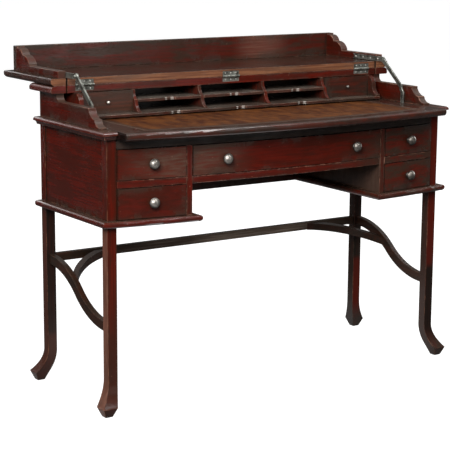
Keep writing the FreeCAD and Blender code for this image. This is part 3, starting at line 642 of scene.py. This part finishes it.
def dress(piece, face, edge, width):
    """Gives a piece its materials, and rounds its edges with the edge material on them."""
    piece.data.materials.clear()
    piece.data.materials.append(face)
    piece.data.materials.append(edge)
    weld = piece.modifiers.new("weld", "WELD")
    weld.merge_threshold = weld_distance
    plane = piece.modifiers.new("plane", "DECIMATE")
    plane.decimate_type = "DISSOLVE"
    plane.angle_limit = flat_angle
    bevel = piece.modifiers.new("edges", "BEVEL")
    bevel.width = width
    bevel.segments = edge_segments
    bevel.limit_method = "ANGLE"
    bevel.angle_limit = sharp_angle
    bevel.material = edge_slot
    normals = piece.modifiers.new("normals", "WEIGHTED_NORMAL")
    normals.keep_sharp = False


made_woods = {}


def wood_pair(tone, grain, **marks):
    """Face and edge material of a wood, made once."""
    key = (tone, grain, *marks.items())
    if key not in made_woods:
        name = "_".join([tone, grain.lower(), *[mark for mark in marks if marks[mark]]])
        face = wood(name, tone, grain, **marks)
        made_woods[key] = face, wood(name + "_edge", tone, grain, edge=True, **marks)
    return made_woods[key]


iron_finish = iron("old_iron", srgb(150, 152, 144), srgb(78, 80, 74), srgb(92, 66, 48))
nail_finish = iron("nail_heads", srgb(240, 238, 232), srgb(200, 198, 190), srgb(150, 140, 130))
pewter = knob_metal("pewter", srgb(182, 176, 168), srgb(126, 121, 114))
bright = knob_metal("bright_metal", srgb(238, 234, 226), srgb(200, 194, 184))
hide = leather()
for node, piece in nodes.items():
    if "knob" in node:
        metal = bright if node.startswith("nest") else pewter
        dress(piece, metal, metal, iron_edge)
    elif node == "leather_inset":
        dress(piece, hide, hide, iron_edge)
    elif node in nail_pieces:
        dress(piece, nail_finish, nail_finish, iron_edge)
    elif node.startswith(iron_pieces):
        dress(piece, iron_finish, iron_finish, iron_edge)
    else:
        tone, grain = next(v for k, v in wood_pieces.items() if node.startswith(k))
        face, edge = wood_pair(tone, grain, rim=node.startswith(rimmed_pieces), haze=light_spots.get(node),
                               side=painted_side_shading.get(node), front=painted_front_shading.get(node),
                               rubbed=node in glinted_pieces, outlined="drawer_front" in node)
        if node == "lid_leaf":
            face = wood("leaf_front", tone, grain, bare=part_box(node)[0].y + weld_distance)
        dress(piece, face, edge, board_edge)

# Stage. Mirrored rays meet the white of the floor within the second distance, fading out at the first, and
# the white of the world overhead, fading in between these heights on the unit sphere.
floor_reach = 30.0
floor_glow = 0.93
floor_grey = (0.1, 0.1, 0.1, 1.0)
floor_shade = (0.3, 0.3, 0.3, 1.0)
floor_white_from_to = (0.75, 0.35)
ceiling_white_from_to = (0.5, 0.9)
white_light = (1, 1, 1, 1)
studio_limits = (-0.1, 0.9, 0.025, 0.3)

# Lamps: azimuth, elevation, distance, size and power
lamp_aim = Vector((0, 0, 0.6))
lamps = {
    "key": (-46, 28, 4.2, 1.8, 198),
    "fill": (20, 8, 3.6, 1.4, 7),
    "top": (32, 52, 3.2, 0.9, 44),
    "rim": (-160, 30, 3.6, 1.6, 9),
    "right": (100, 14, 4.4, 2.0, 120),
    "back": (-177, 12, 4.4, 2.4, 60),
}


def shown_white(tree, share):
    """1 for the camera's rays, and the share for mirrored and transmitted ones."""
    rays = tree.add("LightPath").outputs
    mirrored = tree.math("MAXIMUM", rays["Is Glossy Ray"], rays["Is Transmission Ray"])
    return tree.math("MAXIMUM", rays["Is Camera Ray"], tree.times(mirrored, share))


def stage_floor():
    """Pale floor, white to the camera but for the object's soft shadow."""
    made, tree = material("floor")
    away = tree.measure("LENGTH", tree.place(False))
    seen = shown_white(tree, tree.span(away, *floor_white_from_to))
    plain = tree.add("BsdfDiffuse", {"Color": floor_grey})
    white = tree.add("Emission", {"Strength": floor_glow})
    shadow = tree.add("BsdfDiffuse", {"Color": floor_shade})
    shown = tree.add("AddShader", {0: white.outputs[0], 1: shadow.outputs[0]})
    both = tree.add("MixShader", {0: seen, 1: plain.outputs[0], 2: shown.outputs[0]})
    tree.add("OutputMaterial", {"Surface": both.outputs[0]})
    corners = [(x * floor_reach, y * floor_reach, 0) for x, y in ((-1, -1), (1, -1), (1, 1), (-1, 1))]
    mesh = bpy.data.meshes.new("floor")
    mesh.from_pydata(corners, [], [(0, 1, 2, 3)])
    mesh.materials.append(made)
    floor = bpy.data.objects.new("floor", mesh)
    bpy.context.scene.collection.objects.link(floor)


def stage_world():
    """White to the camera and to mirrored rays overhead, and a dim soft studio to everything else."""
    world = bpy.data.worlds.new("studio")
    bpy.context.scene.world = world
    tree = Tree(world)
    up = tree.split(tree.add("TexCoord").outputs["Generated"])[2]
    seen = shown_white(tree, tree.span(up, *ceiling_white_from_to))
    white = tree.add("Background", {"Color": white_light, "Strength": 1.0})
    soft = tree.add("Background", {"Color": white_light, "Strength": tree.span(up, *studio_limits)})
    both = tree.add("MixShader", {0: seen, 1: soft.outputs[0], 2: white.outputs[0]})
    tree.add("OutputWorld", {"Surface": both.outputs[0]})


def direction(azimuth, elevation):
    """Unit vector towards a place round the desk: azimuth 0 is in front, elevation is above the horizon."""
    a = math.radians(azimuth)
    e = math.radians(elevation)
    return Vector((math.sin(a) * math.cos(e), -math.cos(a) * math.cos(e), math.sin(e)))


def lamp(name, azimuth, elevation, distance, size, power):
    """Soft square lamp that points at the desk from a direction given as the camera's is."""
    data = bpy.data.lights.new(name, "AREA")
    data.size = size
    data.energy = power
    made = bpy.data.objects.new(name, data)
    made.location = lamp_aim + direction(azimuth, elevation) * distance
    made.rotation_mode = "QUATERNION"
    made.rotation_quaternion = (made.location - lamp_aim).to_track_quat("Z", "Y")
    made.visible_camera = False
    bpy.context.scene.collection.objects.link(made)


def stage_camera():
    """Camera that looks at its target from its direction and distance, turned by its roll."""
    data = bpy.data.cameras.new("camera")
    data.sensor_width = sensor_width
    data.lens = focal_pixels / image_side * sensor_width
    camera = bpy.data.objects.new("camera", data)
    back = direction(camera_azimuth, camera_elevation)
    right = Vector((0, 0, 1)).cross(back).normalized()
    up = back.cross(right)
    roll = math.radians(camera_roll)
    turned_right = right * math.cos(roll) + up * math.sin(roll)
    turned_up = up * math.cos(roll) - right * math.sin(roll)
    turn = Matrix([turned_right, turned_up, back]).transposed().to_4x4()
    camera.matrix_world = Matrix.Translation(camera_target + back * camera_distance) @ turn
    bpy.context.scene.collection.objects.link(camera)
    bpy.context.scene.camera = camera


stage_floor()
stage_world()
for lamp_name, lamp_values in lamps.items():
    lamp(lamp_name, *lamp_values)
stage_camera()
bpy.context.scene.view_settings.view_transform = "Standard"
